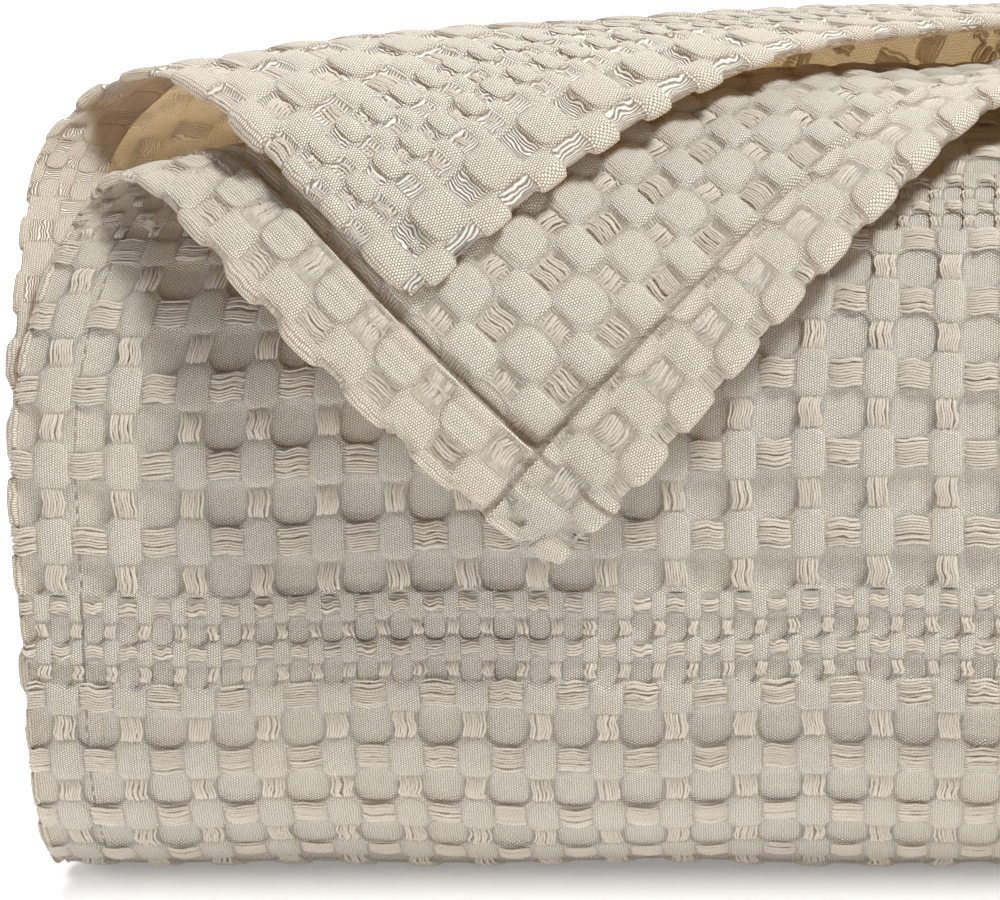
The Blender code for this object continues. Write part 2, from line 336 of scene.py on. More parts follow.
def weaveRow(length, layer):
    # the row of waffle cells at a length of cloth: five large rows, then two of half the size;
    # near the end hem all rows are large
    past = length - weave["firstRow"][layer]
    period = np.floor(past / rowKnots[-1])
    row = np.interp(past - period * rowKnots[-1], rowKnots, rowNumbers) + weave["rows"] * period
    large = (past + rowKnots[-1]) / weave["repeatAlong"] - weave["rows"]
    return np.where(period < -1, large, row)


def rowLength(row, layer):
    period = np.floor(row / weave["rows"])
    past = np.interp(row - weave["rows"] * period, rowNumbers, rowKnots) + rowKnots[-1] * period
    large = (row + weave["rows"]) * weave["repeatAlong"] - rowKnots[-1]
    return np.where(period < -1, large, past) + weave["firstRow"][layer]


def smallRow(row):
    local = np.mod(row, weave["rows"])
    return (local > weave["smallFrom"]) & (local < weave["smallTo"]) & (row > -weave["rows"])


def spread(a, b, seed):
    # a repeatable uneven number from -1 to 1 for each pair of whole numbers
    value = np.sin(a * 12.9898 + b * 78.233 + seed * 37.719) * 43758.5453
    return 2.0 * (value - np.floor(value)) - 1.0


def cellRing(across, along, shape):
    # 1 on the outline of a plain cell, less inside it
    wide, high, square = shape
    return ((across / wide) ** square + (along / high) ** square) ** (1 / square)


def domed(ring):
    return np.sqrt(np.clip(1.0 - (ring / cells["dome"]) ** 2, 0.0, 1.0))


def waffleRelief(column, row, turned):
    # turned is 1 on the cloth beyond a corner's roll, where the small cells stand out as well
    small = smallRow(row)
    scaled = column * np.where(small, 2.0, 1.0)
    du, dw = np.abs(scaled - np.round(scaled)), np.abs(row - np.round(row))
    sunkenRing = cellRing(du, dw, cells["sunken"])
    sunken = fade(sunkenRing, *cells["rim"]) * (1.0 - turned) + domed(sunkenRing) * turned
    raised = domed(cellRing(0.5 - du, 0.5 - dw, cells["raised"]))
    warp = fade(0.5 - du, *cells["warpSides"]) * fade(dw, *cells["warpEnds"])
    weft = fade(du, *cells["weftEnds"]) * fade(0.5 - dw, *cells["weftSides"])
    plain = weave["relief"] * (-sunken * (1.0 - cells["turnedSunken"] * turned)
                               + raised * (cells["raisedHeight"] - cells["turnedRaised"] * turned))
    floats = (weave["flapPit"] * turned - weave["pit"] * (1.0 - turned)) * (warp + weft)
    return (plain + floats) * np.where(small, weave["small"], 1.0)


def wander(u, v):
    # slow unevenness of the whole cloth
    return weave["wander"] * (slowWave(u, v, 71, 1.7, 39) + slowWave(v, u, 83, 1.3, 47, 2))


def gridMesh(name, columns, rows):
    # a grid with this many points each way, and the whole-number place of each point in it
    build = bmesh.new()
    bmesh.ops.create_grid(build, x_segments=columns - 1, y_segments=rows - 1, size=1.0)
    bmesh.ops.reverse_faces(build, faces=build.faces)
    mesh = bpy.data.meshes.new(name)
    build.to_mesh(mesh)
    build.free()
    flat = np.zeros(len(mesh.vertices) * 3, np.float32)
    mesh.vertices.foreach_get("co", flat)
    x, y = flat.reshape(-1, 3).T[:2]
    i = np.rint((x + 1) / 2 * (columns - 1)).astype(int)
    j = np.rint((y + 1) / 2 * (rows - 1)).astype(int)
    return mesh, i, j


def layUv(mesh, name, first, second):
    corner = np.zeros(len(mesh.loops), np.int32)
    mesh.loops.foreach_get("vertex_index", corner)
    places = np.stack([first[corner], second[corner]], axis=-1).astype(np.float32)
    mesh.uv_layers.new(name=name).data.foreach_set("uv", places.ravel())


def finishPiece(name, mesh, points, material):
    mesh.vertices.foreach_set("co", points.astype(np.float32).ravel())
    mesh.update()
    mesh.shade_smooth()
    mesh.materials.append(material)
    piece = bpy.data.objects.new(name, mesh)
    bpy.context.scene.collection.objects.link(piece)
    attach(piece, "root")
    return piece


def stops(start, end, step):
    return list(np.linspace(start, end, max(int(round((end - start) / step)), 1) + 1))


def hemStops(radius, step):
    # rows over the turned cloth of a hem, close together from its sewing to its free edge
    turnEnd = -math.pi * radius
    far, near = turnEnd - hem["width"] - hem["tail"], turnEnd - hem["fineFrom"]
    return (stops(far, near, hem["fineStep"])[:-1] + stops(near, turnEnd, step)[:-1]
            + stops(turnEnd, 0.0, math.pi * radius / hem["turnSteps"])[:-1])


def ownToMiddle(length, layer):
    # the distance along the strip's middle for a length of a layer's own cloth, from a table
    table = np.linspace(-0.03, stripLength, 3000)
    own = ownLength(np.maximum(table, 0.0), layerHeights[layer])
    return np.interp(length, np.where(table < 0.0, table, own), table)


def sheetPiece(name, layer, acrossStops, alongStops, material):
    acrossStops, alongStops = np.asarray(acrossStops), np.asarray(alongStops)
    mesh, i, j = gridMesh(name, len(acrossStops), len(alongStops))
    across, along = acrossStops[i], alongStops[j]
    u, height = acrossPlace(np.clip(across, 0.0, clothWidth))
    length = np.where(along < 0.0, along, ownLength(np.maximum(along, 0.0), height))
    column, row = across / weave["repeatAcross"], weaveRow(length, layer)
    face = 1.0 if layer == "outer" else -1.0
    between = (across > outerEnd) & (across < innerStart)
    hemmed = (across < 0.0) | (across > clothWidth) | (along < 0.0)
    flap = np.where(between, 0.0, turnedShare(corners[layer], u, length))
    turned = np.where(hemmed, 0.0, flap)
    uneven = 1.0 + weave["uneven"] * spread(np.round(column * 2), np.round(row * 2), 1)
    relief = waffleRelief(column, row, np.where(hemmed, 1.0, turned))
    lift = np.where(hemmed, -1.0, face) * relief * uneven
    # the sewing draws the cloth in, and a groove runs beside the hem of the turned corner
    fromSide = np.minimum(np.abs(across), np.abs(clothWidth - across))
    fromEdge = np.minimum(fromSide, np.abs(along))
    sewn = np.exp(-((fromEdge - hem["stitch"]) / hem["sewnWidth"]) ** 2)
    fromHem = np.where(hemmed, np.abs(along), fromEdge) - hem["width"] - hem["grooveGap"]
    seamed = flap * (layer == "outer")
    dug = np.exp(-(fromHem / hem["grooveWidth"]) ** 2) * seamed * (along > 0.0)
    lift = lift * np.where(hemmed, hem["relief"], 1.0)
    lift = lift * (1.0 - hem["sewnFlat"] * sewn) * (1.0 - dug)
    drawn = face * (hem["groove"] * dug - hem["sewnDeep"] * sewn * (1.0 - turned))
    lift = lift + np.where(hemmed, -hem["underGroove"] * hem["groove"] * dug, drawn)
    lift = lift + wander(across, length)
    layUv(mesh, "weave", column, row)
    layUv(mesh, "thread", across, length)
    layUv(mesh, "side", np.where(hemmed, 1.0, turned), seamed)
    return finishPiece(name, mesh, clothPoint(across, along, lift), material)


# the loose yarns of the floats

yarn = dict(
    warpPitch=0.00060, warpRadius=0.00027, weftPitch=0.00064, weftRadius=0.00028,
    sway=0.00036, stray=0.00026, strayAbove=0.80, gather=0.12, uneven=0.00016, reach=0.08,
    arch=0.6, halfRound=math.radians(100), edgeGap=0.0010, dip=1.4, dipWidth=0.00095,
)
yarnHeights = {  # at the ends and in the middle
    "face": (-0.00085, 0.00075),
    "flap": (-0.00150, -0.00020),
}
floatSizes = {  # half length and number of yarns, for the large and the small cells
    "warp": ((0.0043, 8), (0.0021, 4)),
    "weft": ((0.0048, 10), (0.0029, 4)),
}


def bundleSpots(layer, columns, rows, keep):
    # the middle of each float: across, length, runs along the cloth or not, half length,
    # number of yarns, column and row
    spots = []
    for row in np.arange(math.ceil(rows[0] * 2) / 2, rows[1] + 0.25, 0.5):
        small = bool(smallRow(np.array(row)))
        length = float(rowLength(np.array(row), layer))
        whole = abs(row - round(row)) < 0.1
        step = 0.5 if small else 1.0
        half, count = floatSizes["warp" if whole else "weft"][1 if small else 0]
        for column in np.arange(math.ceil(columns[0] / step) * step, columns[1], step):
            across = (column + (0.5 * step if whole else 0.0)) * weave["repeatAcross"]
            if keep(across, length):
                spots.append((across, length, float(whole), half, count, column, row))
    return np.array(spots)


def stripMesh(name, strands, profile, steps, face):
    # narrow strips side by side, cut from one grid
    mesh, i, j = gridMesh(name, strands * profile, steps + 1)
    cut = bmesh.new()
    cut.from_mesh(mesh)
    cut.faces.ensure_lookup_table()
    lowest = np.array([min(i[v.index] for v in f.verts) for f in cut.faces])
    loose = [cut.faces[k] for k in np.nonzero(lowest % profile == profile - 1)[0]]
    bmesh.ops.delete(cut, geom=loose, context="FACES_ONLY")
    if face < 0:
        bmesh.ops.reverse_faces(cut, faces=cut.faces)
    cut.to_mesh(mesh)
    cut.free()
    return mesh, i // profile, i % profile, j / steps * 2.0 - 1.0


def finishStrands(name, layer, mesh, strand, s, a, v, high, material):
    points = clothPoint(a, ownToMiddle(v, layer), high + wander(a, v))
    layUv(mesh, "strand", s, strand)
    return finishPiece(name, mesh, points, material)


def yarnPiece(name, layer, spots, face, heights, steps, profile, material):
    # each yarn is a strip of a grid; face is the side of the cloth it lies on
    number = spots[:, 4].astype(int)
    of = np.repeat(np.arange(len(spots)), number)
    ranks = np.concatenate([np.arange(n) - (n - 1) / 2 for n in number])
    mesh, strand, place, s = stripMesh(name, len(of), profile, steps, face)
    across, length, lengthwise, half, count, column, row = spots[of[strand]].T
    rank = ranks[strand]
    angle = yarn["halfRound"] * (2.0 * place / (profile - 1) - 1.0)
    warp = lengthwise > 0.5
    pitch = np.where(warp, yarn["warpPitch"], yarn["weftPitch"])
    radius = np.where(warp, yarn["warpRadius"], yarn["weftRadius"])
    own = spread(rank, column * 3.1 + row * 7.7, 2)
    own2 = spread(rank + 9, column * 5.3 + row * 2.9, 3)
    shared, shared2 = spread(column, row, 4), spread(column, row, 5)
    free = 1.0 - s ** 4
    # the yarns of a float sway together and each a little by itself, and a few stray
    bend = np.sin(math.pi * (s * (1.1 + 0.6 * shared) + shared2)) \
        + 0.5 * own * np.sin(math.pi * (2.3 * s + own2))
    side = rank * pitch * (1.0 - yarn["gather"] * s * s) + yarn["sway"] * free * bend
    strayed = yarn["stray"] * np.sign(own2) * free
    side = side + np.where(np.abs(own) > yarn["strayAbove"], strayed, 0.0) + radius * np.sin(angle)
    edge = (rank / np.maximum(count / 2, 0.5)) ** 2
    end, middle = heights
    arch = (middle - end) * (1.0 - s * s) ** yarn["arch"]
    high = end + arch * (1.0 - 0.25 * edge) * (1.0 + 0.2 * shared)
    high = high + yarn["uneven"] * own * free + radius * np.cos(angle) - radius
    reach = s * half * (1.0 + yarn["reach"] * own2)
    a = across + np.where(warp, side, reach)
    v = length + np.where(warp, reach, side)
    a = np.maximum(a, -math.pi * hem["side"] - hem["width"] + yarn["edgeGap"])
    v = np.maximum(v, -math.pi * hem["end"] - hem["width"] + yarn["edgeGap"])
    if layer == "outer" and middle < 0.0:  # dips into the groove beside the hem
        fromHem = np.where(a < 0.0, np.abs(v), np.minimum(np.abs(a), np.abs(v)))
        fromHem = fromHem - hem["width"] - hem["grooveGap"]
        dug = yarn["dip"] * hem["groove"] * np.exp(-(fromHem / yarn["dipWidth"]) ** 2)
        high = high - dug * (v > 0.0)
    return finishStrands(name, layer, mesh, strand, s, a, v, face * high, material)


sewing = dict(
    half=0.00135, pitch=0.0034, radius=0.00024, height=-0.00008, under=0.0006, bow=0.0008,
    slant=0.00018, start=0.004, stop=0.01, hemStart=0.002, hemStop=0.35, turnedStop=0.17,
)


def stitchPiece(name, layer, places, face, material):
    # short straight stitches; places gives across, length and whether the line runs along the cloth
    profile = 4
    mesh, strand, place, s = stripMesh(name, len(places), profile, 4, face)
    across, length, lengthwise = places[strand].T
    angle = yarn["halfRound"] * (2.0 * place / (profile - 1) - 1.0)
    slant = spread(across * 1000, length * 1000, 8)
    side = sewing["radius"] * np.sin(angle) + sewing["slant"] * s * slant
    reach = s * sewing["half"] * (1.0 + 0.1 * slant)
    high = sewing["height"] - sewing["bow"] * s ** 4
    high = high + sewing["radius"] * (np.cos(angle) - 1.0) - sewing["under"]
    a = across + np.where(lengthwise > 0.5, side, reach)
    v = length + np.where(lengthwise > 0.5, reach, side)
    return finishStrands(name, layer, mesh, strand, s, a, v, face * high, material)


# materials

drawn = dict(  # the weave as the material draws it; pairs say where a mask starts and is full
    dotPitch=0.00111, dotStep=0.000543, dots=(0.46, 0.48), ribs=0.20,
    warpPitch=0.00065, weftPitch=0.00070, swayScale=260.0, sway=0.0022,
    shakeScale=520.0, shakeAcross=0.0006, shakeAlong=0.0005,
    warpSides=(0.18, 0.15), warpEnds=(0.22, 0.18), weftSides=(0.21, 0.17), weftEnds=(0.28, 0.23),
    # the rims of the sunken cells get a line of painted shade
    rimShadeIn=(0.70, 0.92), rimShadeOut=(1.12, 0.95),
    # the seam and sewing lines are painted shade
    seamGap=0.0010, seamShade=(0.0011, 0.0003), sewnGap=0.0003, sewn=(0.00042, 0.00012),
    sunkenWall=(0.84, 1.0), sunkenHigh=4.6, raisedWall=(1.02, 0.80), raisedHigh=2.2,
    turnedHigh=-1.6, yarnHigh=1.6,
)


def feed(tree, node, values):
    # a number or colour is set on a socket, and anything else is linked to it
    for name, value in values.items():
        if isinstance(value, (int, float, tuple)):
            node.inputs[name].default_value = value
        else:
            tree.links.new(value, node.inputs[name])
    return node.outputs


def mathNode(tree, operation, *values, clamp=False):
    node = tree.nodes.new("ShaderNodeMath")
    node.operation = operation
    node.use_clamp = clamp
    return feed(tree, node, dict(enumerate(values)))[0]


def smoothRange(tree, value, low, high, toLow=0.0, toHigh=1.0):
    node = tree.nodes.new("ShaderNodeMapRange")
    node.interpolation_type = "SMOOTHSTEP"
    return feed(tree, node, {"Value": value, "From Min": low, "From Max": high,
                             "To Min": toLow, "To Max": toHigh})["Result"]


def mixColour(tree, share, first, second):
    node = tree.nodes.new("ShaderNodeMix")
    node.data_type = "RGBA"
    return feed(tree, node, {0: share, 6: first, 7: second})[2]  # the colour mix's own sockets


def splitVector(tree, vector):
    return feed(tree, tree.nodes.new("ShaderNodeSeparateXYZ"), {0: vector})


def noiseNode(tree, place, scale, detail):
    node = tree.nodes.new("ShaderNodeTexNoise")
    return feed(tree, node, {"Vector": place, "Scale": scale, "Detail": detail})


def waveNode(tree, place, pitch):
    return mathNode(tree, "COSINE", mathNode(tree, "MULTIPLY", place, 2 * math.pi / pitch))


def ringNode(tree, across, along, shape):
    # as cellRing
    wide, high, square = shape
    powers = [mathNode(tree, "POWER", mathNode(tree, "DIVIDE", off, half), square)
              for off, half in ((across, wide), (along, high))]
    return mathNode(tree, "POWER", mathNode(tree, "ADD", *powers), 1 / square)


def lineNode(tree, fromEdge, gap, width):
    # a thin line at an even distance from an edge of the cloth
    off = mathNode(tree, "ABSOLUTE", mathNode(tree, "SUBTRACT", fromEdge, gap))
    return smoothRange(tree, off, *width)


def weaveGroup():
    # Weave counts the cells, Thread is in metres, Side tells the turned cloth and its seams
    tree = bpy.data.node_groups.new("waffle weave", "ShaderNodeTree")
    for name in ("Weave", "Thread", "Side"):
        tree.interface.new_socket(name, in_out="INPUT", socket_type="NodeSocketVector")
    results = ("Dots", "Yarns", "Float", "RimShade", "Seam", "Height")
    for name in results:
        tree.interface.new_socket(name, in_out="OUTPUT", socket_type="NodeSocketFloat")
    inside, outside = tree.nodes.new("NodeGroupInput"), tree.nodes.new("NodeGroupOutput")
    calc, smooth, wave = (partial(make, tree) for make in (mathNode, smoothRange, waveNode))
    column, row = splitVector(tree, inside.outputs["Weave"])[:2]
    u, v = splitVector(tree, inside.outputs["Thread"])[:2]
    turned, seamed = splitVector(tree, inside.outputs["Side"])[:2]
    local = calc("FLOORED_MODULO", row, weave["rows"])
    small = calc("MULTIPLY", calc("GREATER_THAN", local, weave["smallFrom"]),
                 calc("LESS_THAN", local, weave["smallTo"]))
    small = calc("MULTIPLY", small, calc("GREATER_THAN", row, -weave["rows"]))
    scaled = calc("MULTIPLY", column, calc("ADD", small, 1.0))
    du, dw = [calc("ABSOLUTE", calc("SUBTRACT", value, calc("ROUND", value)))
              for value in (scaled, row)]
    duFar, dwFar = calc("SUBTRACT", 0.5, du), calc("SUBTRACT", 0.5, dw)
    warp = calc("MULTIPLY", smooth(duFar, *drawn["warpSides"]), smooth(dw, *drawn["warpEnds"]))
    weft = calc("MULTIPLY", smooth(du, *drawn["weftEnds"]), smooth(dwFar, *drawn["weftSides"]))
    floats = calc("MAXIMUM", warp, weft)
    shake = noiseNode(tree, inside.outputs["Thread"], drawn["shakeScale"], 1.0)["Color"]
    shaken = splitVector(tree, shake)
    u = calc("MULTIPLY_ADD", shaken[0], drawn["shakeAcross"], u)
    v = calc("MULTIPLY_ADD", shaken[1], drawn["shakeAlong"], v)
    # plain weave: light dots in columns, each column half a step further, and gaps between them
    dots = calc("MULTIPLY", wave(u, drawn["dotPitch"]), wave(v, drawn["dotStep"]))
    dots = calc("MULTIPLY_ADD", wave(u, drawn["dotPitch"] / 2), drawn["ribs"],
                calc("MULTIPLY_ADD", dots, *drawn["dots"]), clamp=True)
    # long yarns in the floats, a little wavy
    noise = noiseNode(tree, inside.outputs["Thread"], drawn["swayScale"], 1.0)["Fac"]
    sway = calc("MULTIPLY_ADD", noise, drawn["sway"], -drawn["sway"] / 2)
    yarns = []
    for place, pitch, mask in ((u, drawn["warpPitch"], warp), (v, drawn["weftPitch"], weft)):
        light = calc("MULTIPLY_ADD", wave(calc("ADD", place, sway), pitch), 0.5, 0.5)
        yarns.append(calc("MULTIPLY", light, mask))
    yarns = calc("ADD", *yarns, clamp=True)
    # painted shade: a dark line at the rim where a sunken plain cell meets its floats
    ring = ringNode(tree, du, dw, cells["sunken"])
    edge = calc("MULTIPLY", smooth(ring, *drawn["rimShadeIn"]), smooth(ring, *drawn["rimShadeOut"]))
    # painted shade: a dark line along the groove of the seam beside the hems of the turned corner
    fromRight = calc("SUBTRACT", clothWidth, u)
    gap = hem["width"] + drawn["seamGap"]
    seams = [lineNode(tree, fromEdge, gap, drawn["seamShade"]) for fromEdge in (u, fromRight, v)]
    seamShade = calc("MAXIMUM", calc("MAXIMUM", *seams[:2]), seams[2])
    seamShade = calc("MULTIPLY", seamShade, seamed)
    # painted shade along the thin drawn-in line of the side hem's sewing, on the cloth that isn't
    # turned over
    gap = hem["stitch"] + drawn["sewnGap"]
    sewn = [lineNode(tree, fromEdge, gap, drawn["sewn"]) for fromEdge in (u, fromRight)]
    sewn = calc("MULTIPLY", calc("MAXIMUM", *sewn), calc("SUBTRACT", 1.0, turned))
    seamShade = calc("MAXIMUM", seamShade, sewn)
    # height for the bump: the walls of the cells, the dots and the yarns
    raised = smooth(ringNode(tree, duFar, dwFar, cells["raised"]), *drawn["raisedWall"],
                    0.0, drawn["raisedHigh"])
    walls = calc("MULTIPLY_ADD", smooth(ring, *drawn["sunkenWall"]), drawn["sunkenHigh"], raised)
    away = calc("MULTIPLY_ADD", turned, drawn["turnedHigh"], 1.0)
    plain = calc("MULTIPLY", dots, calc("SUBTRACT", 1.0, floats))
    height = calc("ADD", plain, calc("MULTIPLY", yarns, drawn["yarnHigh"]))
    height = calc("MULTIPLY_ADD", walls, away, height)
    feed(tree, outside, dict(zip(results, (plain, yarns, floats, edge, seamShade, height))))
    return tree


cotton = dict(
    # gap is the colour of painted shade: between threads and yarns, at the cells' rims, along the
    # seam and sewing lines and in the yarns' twist; pit is painted shade on the cloth under the
    # modelled yarns
    gap=(0.16, 0.141, 0.110, 1.0), pit=(0.44, 0.405, 0.335, 1.0),
    cloth=(0.895, 0.838, 0.714, 1.0), light=(0.82, 0.785, 0.70, 1.0), warm=(0.60, 0.51, 0.38, 1.0),
    roughness=0.88, specular=0.25, sheen=0.15, sheenRoughness=0.5,
    through=(1.0, 0.69, 0.37, 1.0), throughShare=0.27, bump=0.9, bumpDepth=0.00022,
    # how dark the painted shade is at the cells' rims and along the seams
    rimShade=0.30, drawnRimShade=0.16, seamShade=0.90,
    warmScale=22.0, warmShare=0.16, fleckScale=1500.0, fleckShare=0.22,
)
strandCotton = dict(
    yarn=(0.61, 0.552, 0.475, 1.0), roughness=0.88, specular=0.25, sheen=0.2, sheenRoughness=0.5,
    through=(0.96, 0.87, 0.75, 1.0), throughShare=0.38, bump=0.6, bumpDepth=0.0001,
    twists=34.0, twistStep=1.7, twistShade=0.22, endShade=0.35, fuzzScale=1800.0, fuzzShare=0.30,
)


def newCotton(name, look):
    # a material with its constants, and some warm light that comes through the thin cloth
    material = bpy.data.materials.new(name)
    material.use_nodes = True
    tree = material.node_tree
    shader = tree.nodes["Principled BSDF"]
    feed(tree, shader, {"Roughness": look["roughness"], "Specular IOR Level": look["specular"],
                        "Sheen Weight": look["sheen"], "Sheen Roughness": look["sheenRoughness"]})
    through = feed(tree, tree.nodes.new("ShaderNodeBsdfTranslucent"), {"Color": look["through"]})
    both = feed(tree, tree.nodes.new("ShaderNodeMixShader"),
                {0: look["throughShare"], 1: shader.outputs["BSDF"], 2: through["BSDF"]})
    feed(tree, tree.nodes["Material Output"], {"Surface": both["Shader"]})
    return material, tree, shader


def uvPlace(tree, name):
    node = tree.nodes.new("ShaderNodeUVMap")
    node.uv_map = name
    return node.outputs["UV"]


def dress(tree, shader, colour, height, look):
    bump = feed(tree, tree.nodes.new("ShaderNodeBump"),
                {"Strength": look["bump"], "Distance": look["bumpDepth"], "Height": height})
    feed(tree, shader, {"Base Color": colour, "Normal": bump["Normal"]})


def makeCotton(name, drawnYarns):
    # without drawn yarns, modelled ones lie over the floats, and the cloth under them is painted
    # darker as painted shade under the yarns
    material, tree, shader = newCotton(name, cotton)
    calc, smooth, mix = (partial(make, tree) for make in (mathNode, smoothRange, mixColour))
    group = tree.nodes.new("ShaderNodeGroup")
    group.node_tree = bpy.data.node_groups["waffle weave"]
    maps = {socket: uvPlace(tree, socket.lower()) for socket in ("Weave", "Thread", "Side")}
    masks = feed(tree, group, maps)
    where = tree.nodes.new("ShaderNodeTexCoord").outputs["Object"]
    slow = noiseNode(tree, where, cotton["warmScale"], 3.0)["Fac"]
    fine = noiseNode(tree, where, cotton["fleckScale"], 2.0)["Fac"]
    # the plain weave's threads in the cloth colour, with painted shade in the gaps between them
    body = mix(smooth(masks["Dots"], 0.18, 0.72), cotton["gap"], cotton["cloth"])
    # the pit colour is painted shade under the modelled yarns
    floats = cotton["pit"]
    # drawn yarns, with painted shade in the gaps between them
    if drawnYarns:
        floats = mix(smooth(masks["Yarns"], 0.10, 0.70), cotton["gap"], cotton["light"])
    whole = mix(masks["Float"], body, floats)
    rimShade = cotton["drawnRimShade"] if drawnYarns else cotton["rimShade"]
    # painted shade: the rims of the sunken cells and the seam and sewing lines darken the colour
    # towards the gap colour
    paintedShade = calc("MAXIMUM", calc("MULTIPLY", masks["RimShade"], rimShade),
                   calc("MULTIPLY", masks["Seam"], cotton["seamShade"]))
    shaded = mix(paintedShade, whole, cotton["gap"])
    tinted = mix(smooth(slow, 0.45, 0.75, 0.0, cotton["warmShare"]), shaded, cotton["warm"])
    flecked = mix(smooth(fine, 0.35, 0.70, 0.0, cotton["fleckShare"]), tinted, cotton["light"])
    dress(tree, shader, flecked, masks["Height"], cotton)
    return material


def makeYarn():
    look = strandCotton
    material, tree, shader = newCotton("natural cotton yarn", look)
    calc, smooth, mix = (partial(make, tree) for make in (mathNode, smoothRange, mixColour))
    along, number = splitVector(tree, uvPlace(tree, "strand"))[:2]
    phase = calc("MULTIPLY_ADD", along, look["twists"], calc("MULTIPLY", number, look["twistStep"]))
    twist = calc("MULTIPLY_ADD", calc("SINE", phase), 0.5, 0.5)
    ends = smooth(calc("ABSOLUTE", along), 0.60, 0.95)
    where = tree.nodes.new("ShaderNodeTexCoord").outputs["Object"]
    fuzz = noiseNode(tree, where, look["fuzzScale"], 2.0)["Fac"]
    tone = mix(smooth(fuzz, 0.35, 0.65, 0.0, look["fuzzShare"]), look["yarn"], cotton["cloth"])
    # painted shade in the twist of each yarn and on its ends, where it dips under the cloth
    twisted = mix(calc("MULTIPLY", twist, look["twistShade"]), tone, cotton["gap"])
    sunken = mix(calc("MULTIPLY", ends, look["endShade"]), twisted, cotton["gap"])
    dress(tree, shader, sunken, fuzz, look)
    return material


weaveGroup()
waffleCotton = makeCotton("natural cotton waffle", False)
floatCotton = makeCotton("natural cotton waffle with floats", True)
yarnCotton = makeYarn()
print("materials made")

# the cloth, in pieces that meet under the pile

cloth = dict(  # where the pieces are cut, and how far apart their points are
    cut=0.2295, fineInner=0.178, cellStep=weave["repeatAcross"] / 15,
    rowStep=weave["repeatAlong"] / 16, smallStep=0.00065, ahead=0.0005, sideStep=0.0019,
    innerSideStep=0.0031, innerRowStep=0.0033, farStep=0.0021, rightStep=0.003,
    underStep=0.05, underTurnStep=0.0015, underRowStep=0.008, restTurnStep=0.0012,
    restStep=0.03, hiddenStep=0.022, foldSteps=8, farFine=(1, 5, 9, 8),
)


def rowStops(layer, start, end):
    # rows across the cloth, closer where the waffle is small
    marks = [start]
    while marks[-1] < end:
        own = ownLength(np.array(marks[-1:]), layerHeights[layer])[0]
        small = bool(smallRow(weaveRow(np.array(own + cloth["ahead"]), layer)))
        marks.append(marks[-1] + (cloth["smallStep"] if small else cloth["rowStep"]))
    marks = np.array(marks)
    return list(start + (marks - start) * (end - start) / (marks[-1] - start))


def pileRows(fine=()):
    # rows for the rest of the strip, close together on the legs that are named
    rows, start = [footEnd], footEnd
    for number, (length, turn, _) in enumerate(legs[4:]):
        step = length / cloth["foldSteps"] if turn else cloth["hiddenStep"]
        rows += stops(start, start + length, cloth["farStep"] if number in fine else step)[1:]
        start += length
    return rows


def fromFarSide(places):
    return [clothWidth - a for a in reversed(places)]


cutFromFar = clothWidth - cloth["cut"]
leftEdge = hemStops(hem["side"], cloth["cellStep"])
farHem = hemStops(hem["side"], cloth["farStep"])
endRows = hemStops(hem["end"], cloth["rowStep"])
outerRows = endRows + rowStops("outer", 0.0, footEnd)
innerRows = endRows + rowStops("inner", 0.0, cloth["fineInner"])[:-1] \
    + stops(cloth["fineInner"], footEnd, cloth["innerRowStep"])
sheets = (  # piece, layer, points across, points along, material
    ("outer-front", "outer", leftEdge + stops(0.0, cloth["cut"], cloth["cellStep"]),
     outerRows, waffleCotton),
    ("outer-right", "outer", stops(cloth["cut"], underStart, cloth["sideStep"]),
     outerRows, waffleCotton),
    ("inner-front", "inner",
     stops(cutFromFar, clothWidth, cloth["cellStep"]) + fromFarSide(leftEdge),
     innerRows, floatCotton),
    ("inner-right", "inner", stops(underEnd, cutFromFar, cloth["innerSideStep"]),
     innerRows, floatCotton),
    ("outer-rest", "outer",
     farHem + stops(0.0, outerEnd, cloth["farStep"])
     + stops(outerEnd, underStart, cloth["rightStep"])[1:],
     pileRows(cloth["farFine"]), floatCotton),
    ("under-layers", "outer",
     stops(underStart, leftStart, cloth["underStep"])[:-1]
     + stops(leftStart, leftEnd, cloth["underTurnStep"])
     + stops(leftEnd, underEnd, cloth["underStep"])[1:],
     farHem + stops(0.0, footEnd, cloth["underRowStep"]) + pileRows()[1:], floatCotton),
    ("inner-rest", "inner",
     stops(underEnd, innerStart, cloth["restTurnStep"])
     + stops(innerStart, clothWidth, cloth["restStep"])[1:] + fromFarSide(farHem),
     pileRows(), floatCotton),
)
pieces = [sheetPiece(*sheet) for sheet in sheets]
print("sheets made")

modelled = dict(  # how far past the fold lines of the corners modelled yarns are laid
    roll=0.043, covered=0.012, leftWidth=0.06, leftPast=0.05, flapFrom=0.008, hemFrom=0.030,
    innerFrom=0.004, innerRoll=0.060, innerWidth=0.09, frontEnd=0.328,
)


def mirrored(corner, u, v):
    # where the cloth over a place comes from when the corner lies on it
    past = 2 * pastFold(corner, u, v) - modelled["roll"]
    return u + past * math.sin(corner["angle"]), v + past * math.cos(corner["angle"])


def outerFace(across, length):
    # the lying cloth, but not where the corner covers it
    near = modelled["covered"]
    past = pastFold(corners["outer"], max(across, 0.0), length)
    overU, overV = mirrored(corners["outer"], across, length)
    covered = past < -near and overU > near and overV > near
    atLeft = past < modelled["leftPast"] and across < modelled["leftWidth"]
    return not covered and (past < near or atLeft)


def outerFlap(across, length):
    past = pastFold(corners["outer"], across, length)
    return past > modelled["flapFrom"] and across > hem["width"] and length > hem["width"]


def innerFlap(across, length):
    fromLeft = clothWidth - across
    past = pastFold(corners["inner"], fromLeft, length)
    beyond = past > modelled["innerRoll"] or fromLeft > modelled["innerWidth"]
    return past > modelled["innerFrom"] and beyond


def hemOfFlap(across, length):
    return pastFold(corners["outer"], 0.0, length) > modelled["hemFrom"]


